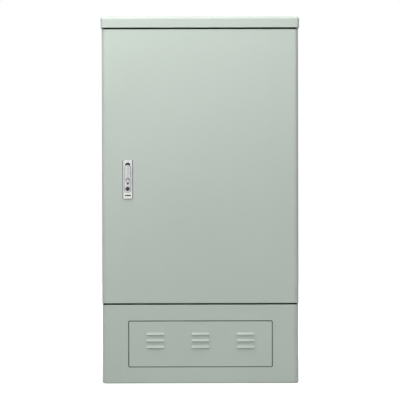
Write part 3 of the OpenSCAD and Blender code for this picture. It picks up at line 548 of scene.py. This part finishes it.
def makeAdapters(number, settings):
    low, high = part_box("adapters_%d" % number)
    halfW = settings["width"] / 2
    halfH = settings["height"] / 2
    bodyW = halfW * settings["bodyShare"]
    bodyH = halfH * settings["bodyShare"]
    plugW = halfW * settings["plugWide"]
    plugH = halfH * settings["plugTall"]
    seat = high[1] - settings["flange"]
    face = low[1] + settings["plugOut"]
    stepX = (high[0] - low[0] - settings["width"]) / (settings["columns"] - 1)
    stepZ = (high[2] - low[2] - settings["height"]) / (settings["rows"] - 1)
    shape = bmesh.new()
    plugs = bmesh.new()
    for column in range(settings["columns"]):
        for row in range(settings["rows"]):
            x = low[0] + halfW + column * stepX
            z = low[2] + halfH + row * stepZ
            addBlock(shape, (x - halfW, seat, z - halfH), (x + halfW, high[1], z + halfH), settings["flangeRound"])
            addBlock(shape, (x - bodyW, face, z - bodyH), (x + bodyW, seat + settings["bodyIn"], z + bodyH),
                     settings["bodyRound"])
            for middle in (z - bodyH / 2, z + bodyH / 2):
                addBlock(plugs, (x - plugW, low[1], middle - plugH),
                         (x + plugW, face + settings["plugIn"], middle + plugH), settings["plugRound"])
    finishPiece(shape, "adapterBodies%d" % number, "cabinet", "adapter_green", ("adapters_%d" % number,))
    finishPiece(plugs, "dustPlugs%d" % number, "cabinet", "black_plastic")


for number in range(1, adapterSettings["panels"] + 1):
    makeAdapters(number, adapterSettings)
print("adapters made")


# Socket screws on the patch panels, the spool plate and the lock frame

panelScrew = dict(radius=0.0030, height=0.0022, fromEdge=0.0085, segments=18)
plateScrew = dict(radius=0.0030, height=0.0022, fromEdge=0.014, segments=18)
smallScrew = dict(radius=0.0022, height=0.0014, fromEdge=0.005, segments=16)
headShares = dict(taper=0.84, crown=0.2, rim=0.18, wall=0.02, socket=0.6)


def addScrew(shape, place, direction, screw):
    axis = Vector(direction)
    radius, height = screw["radius"], screw["height"]
    turn = Vector((0, 0, 1)).rotation_difference(axis).to_matrix().to_4x4()
    seat = Matrix.Translation(place) @ turn @ Matrix.Translation((0, 0, height / 2))
    made = bmesh.ops.create_cone(shape, cap_ends=True, segments=screw["segments"], radius1=radius,
                                 radius2=radius * headShares["taper"], depth=height, matrix=seat)["verts"]
    top = max({face for vert in made for face in vert.link_faces},
              key=lambda face: face.calc_center_median().dot(axis))
    bmesh.ops.inset_region(shape, faces=[top], thickness=radius * headShares["crown"],
                           depth=height * headShares["crown"])
    bmesh.ops.inset_region(shape, faces=[top], thickness=radius * headShares["rim"], depth=0)
    bmesh.ops.inset_region(shape, faces=[top], thickness=radius * headShares["wall"],
                           depth=-height * headShares["socket"])


def screwCorners(shape, nodeName, facing, screw):
    low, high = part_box(nodeName)
    edge = screw["fromEdge"]
    face = low[1] if facing < 0 else high[1]
    for x in (low[0] + edge, high[0] - edge):
        for z in (low[2] + edge, high[2] - edge):
            addScrew(shape, (x, face, z), (0, facing, 0), screw)


cabinetScrews = bmesh.new()
doorScrews = bmesh.new()
for number in range(1, adapterSettings["panels"] + 1):
    screwCorners(cabinetScrews, "patch_panel_%d" % number, -1, panelScrew)
screwCorners(cabinetScrews, "spool_plate", -1, plateScrew)
screwCorners(doorScrews, "lock_frame", 1, smallScrew)
finishPiece(cabinetScrews, "cabinetScrews", "cabinet", "zinc_steel")
finishPiece(doorScrews, "doorScrews", "door", "zinc_steel")
print("screws made")


# Lock trim: near-black linings that stand in for shade in the recess round the handle and in the slot (painted shade),
# a seal under the plate that is also its painted shadow, a black button bezel whose ring and tail are painted shade and
# shadow, and a ring round the cylinder

# A black lining of the recess round the handle that stands in for the recess's shade: painted shade
recessShadeSettings = dict(sideRoom=0.0014, endRoom=0.006, deepest=0.0085, thickness=0.00015, setBack=0.0006)


def makeRecessShade(settings):
    low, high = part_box("lock_housing")
    handleLow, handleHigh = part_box("swing_handle")
    plateFront = low[1]
    middleX = (handleLow[0] + handleHigh[0]) / 2
    reach = (handleHigh[0] - handleLow[0]) / 2 + settings["sideRoom"]
    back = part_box("door_panel")[0][1] + settings["deepest"]
    shape = mergedCopy("lock_housing")
    rest = []
    for face in shape.faces:
        spot = face.calc_center_median()
        inside = abs(spot.x - middleX) < reach and plateFront + closeBy < spot.y < back
        if not inside or not low[2] + settings["endRoom"] < spot.z < high[2] - settings["endRoom"]:
            rest.append(face)
    bmesh.ops.delete(shape, geom=rest, context="FACES")
    rim = [vert for vert in shape.verts if vert.co.y < plateFront + closeBy]
    bmesh.ops.translate(shape, vec=(0, settings["setBack"], 0), verts=rim)
    bmesh.ops.solidify(shape, geom=shape.faces, thickness=-settings["thickness"])
    bmesh.ops.recalc_face_normals(shape, faces=shape.faces)
    finishPiece(shape, "lockRecessShade", "door", "black_plastic")


# A near-black liner in the plate's slot that stands in for the slot's shade: painted shade
def makeSlotShade(settings):
    low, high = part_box("lock_housing")
    middle = (low[0] + high[0]) / 2
    level = low[2] + settings["up"] + settings["lift"]
    front = low[1] + settings["setBack"]
    shape = bmesh.new()
    addBlock(shape, (middle - settings["wide"] / 2, front, level - settings["tall"] / 2),
             (middle + settings["wide"] / 2, front + settings["deep"], level + settings["tall"] / 2),
             settings["corner"])
    finishPiece(shape, "slotShade", "door", "black_plastic", finish=paintedShadeFinish)


# A seal under the lock plate, wider at the sides, whose near-black rim also stands in for the plate's shadow on the
# door: partly a real seal, partly painted shadow
plateSealAndShadowSettings = dict(out=0.0006, sideOut=0.0022, under=0.002, thick=0.0011, corner=0.0036, wallShare=0.7,
                         topShare=0.6, segments=32)


def makePlateSealAndShadow(settings):
    low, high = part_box("lock_housing")
    out, under, thick, corner = settings["out"], settings["under"], settings["thick"], settings["corner"]
    side = (high[0] - low[0]) / 2 - corner
    up = (high[2] - low[2]) / 2 - corner
    wide = side + (settings["sideOut"] - out)
    sections = [(0, corner - under, up, up, side), (0, corner + out, up, up, wide),
                (thick * settings["wallShare"], corner + out, up, up, wide),
                (thick, corner + out * settings["topShare"], up, up, wide), (thick, corner - under, up, up, side)]
    shape = ringShape(frontCentre(low, high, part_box("door_panel")[0][1]), settings["segments"], sections)
    finishPiece(shape, "plateSealAndShadow", "door", "black_rubber", finish=paintedShadeFinish)


# A bezel round the release button, made black so that its ring stands in for the shaded gap round the button, with a
# tail below that stands in for the button's shadow: partly a real bezel, partly painted shade and shadow
bezelAndShadowSettings = dict(play=0.0002, width=0.0026, tail=0.0046, taper=0.55, rise=0.0006, edge=0.0003, sunk=0.0012,
                     shares=(0, 0.25, 0.5, 0.75, 0.95), segments=40)


def makeBezelAndShadow(settings):
    low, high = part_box("release_button")
    inner = (high[0] - low[0]) / 2 + settings["play"]
    stretch = (high[2] - low[2]) / 2 - (high[0] - low[0]) / 2
    rise, sunk = settings["rise"], settings["sunk"]
    steps = [(0, -sunk)] + [(share, rise) for share in settings["shares"]] + [(1, rise - settings["edge"]), (1, -sunk)]
    sections = []
    for share, out in steps:  # the ring grows a tail below the button
        sections.append((out, inner + settings["width"] * share, stretch, stretch + settings["tail"] * share, 0,
                         1 - (1 - settings["taper"]) * share))
    shape = ringShape(frontCentre(low, high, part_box("swing_handle")[0][1]), settings["segments"], sections)
    finishPiece(shape, "buttonBezelAndShadow", "handle", "black_plastic")


ringSettings = dict(width=0.0014, rise=0.0005, sunk=0.0015, crown=0.35, shoulder=0.75, shoulderRise=0.6, segments=48)


def makeCylinderRing(settings):
    low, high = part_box("lock_cylinder")
    inner = (high[0] - low[0]) / 2
    rise, sunk = settings["rise"], settings["sunk"]
    shoulderRise = rise * settings["shoulderRise"]
    steps = ((0, -sunk), (0, shoulderRise), (settings["crown"], rise), (settings["shoulder"], shoulderRise), (1, -sunk))
    sections = [(out, inner + settings["width"] * share) for share, out in steps]
    shape = ringShape(frontCentre(low, high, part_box("swing_handle")[0][1]), settings["segments"], sections)
    finishPiece(shape, "cylinderRing", "handle", "lock_chrome")


makeRecessShade(recessShadeSettings)
makeSlotShade(slotSettings)
makePlateSealAndShadow(plateSealAndShadowSettings)
makeBezelAndShadow(bezelAndShadowSettings)
makeCylinderRing(ringSettings)
print("lock trim made")


# Floor, backdrop, lamps and camera

stageSettings = dict(floorSize=14.0, floorColor=(0.55, 0.55, 0.55), floorRough=0.9, nearFill=0.66, farFill=1.0,
                     nearRadius=0.6, farRadius=1.7, worldStrength=0.08)


def seenRays(tree):
    path = tree.nodes.new("ShaderNodeLightPath")
    first = combined(tree, "MAXIMUM", path.outputs["Is Camera Ray"], path.outputs["Is Glossy Ray"])
    return combined(tree, "MAXIMUM", first, path.outputs["Is Transmission Ray"])


def makeFloor(settings):
    mesh = bpy.data.meshes.new("studioFloor")
    shape = bmesh.new()
    bmesh.ops.create_grid(shape, x_segments=1, y_segments=1, size=settings["floorSize"] / 2)
    shape.to_mesh(mesh)
    shape.free()
    floor = bpy.data.objects.new("studioFloor", mesh)
    bpy.context.scene.collection.objects.link(floor)
    material, tree, shader, coords = startMaterial("paleFloor")
    shader.inputs["Base Color"].default_value = (*settings["floorColor"], 1)
    shader.inputs["Roughness"].default_value = settings["floorRough"]
    shader.inputs["Emission Color"].default_value = (1, 1, 1, 1)
    away = tree.nodes.new("ShaderNodeVectorMath")
    away.operation = "LENGTH"
    tree.links.new(coords, away.inputs[0])
    fill = ranged(tree, away.outputs["Value"], settings["nearFill"], settings["farFill"], settings["nearRadius"],
                  settings["farRadius"])
    tree.links.new(combined(tree, "MULTIPLY", fill, seenRays(tree)), shader.inputs["Emission Strength"])
    mesh.materials.append(material)


def makeWorld(settings):
    world = bpy.data.worlds.new("studioWorld")
    bpy.context.scene.world = world
    world.use_nodes = True
    tree = world.node_tree
    background = tree.nodes["Background"]
    background.inputs["Color"].default_value = (1, 1, 1, 1)
    level = ranged(tree, seenRays(tree), settings["worldStrength"], 1.0, 0, 1)
    tree.links.new(level, background.inputs["Strength"])


# Lamps that aren't mirrored light the surfaces without a reflection of themselves
lamps = dict(
    topLamp=dict(place=(-0.3, -1.3, 3.4), aim=(0.0, -0.16, 0.9), wide=2.0, tall=2.0, power=76, mirrored=True),
    leftLamp=dict(place=(-0.75, -1.7, 2.2), aim=(-0.2, -0.16, 1.2), wide=1.0, tall=1.0, power=13.5, mirrored=False),
    frontLamp=dict(place=(0.0, -6.6, 3.4), aim=(0.0, -0.16, 0.7), wide=5.0, tall=4.0, power=124, mirrored=False),
    stripLamp=dict(place=(-2.0, -3.2, 1.25), aim=(-0.28, -0.17, 0.8), wide=0.35, tall=1.6, power=2, mirrored=True),
    backLamp=dict(place=(0.8, 3.2, 2.3), aim=(0.0, 0.1, 0.7), wide=2.6, tall=2.6, power=92, mirrored=False),
)


def makeLamp(name, settings):
    lamp = bpy.data.lights.new(name, "AREA")
    lamp.shape = "RECTANGLE"
    lamp.size = settings["wide"]
    lamp.size_y = settings["tall"]
    lamp.energy = settings["power"]
    holder = bpy.data.objects.new(name, lamp)
    bpy.context.scene.collection.objects.link(holder)
    holder.location = settings["place"]
    aim = Vector(settings["aim"]) - Vector(settings["place"])
    holder.rotation_euler = aim.to_track_quat("-Z", "Y").to_euler()
    holder.visible_camera = False
    holder.visible_glossy = settings["mirrored"]


cameraSettings = dict(distance=6.0, frameWidth=1.5256, height=0.7000, aside=-0.0008, sensor=36.0, roll=-0.12)


def makeCamera(settings):
    camera = bpy.data.cameras.new("photoCamera")
    camera.sensor_width = settings["sensor"]
    camera.lens = settings["sensor"] * settings["distance"] / settings["frameWidth"]
    holder = bpy.data.objects.new("photoCamera", camera)
    bpy.context.scene.collection.objects.link(holder)
    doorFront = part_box("door_panel")[0][1]
    holder.location = (settings["aside"], doorFront - settings["distance"], settings["height"])
    upright = Matrix.Rotation(math.radians(90), 4, "X")
    holder.rotation_euler = (upright @ Matrix.Rotation(math.radians(settings["roll"]), 4, "Z")).to_euler()
    bpy.context.scene.camera = holder


makeFloor(stageSettings)
makeWorld(stageSettings)
for name, settings in lamps.items():
    makeLamp(name, settings)
makeCamera(cameraSettings)
bpy.context.scene.view_settings.view_transform = "Standard"
print("stage, lamps and camera set")
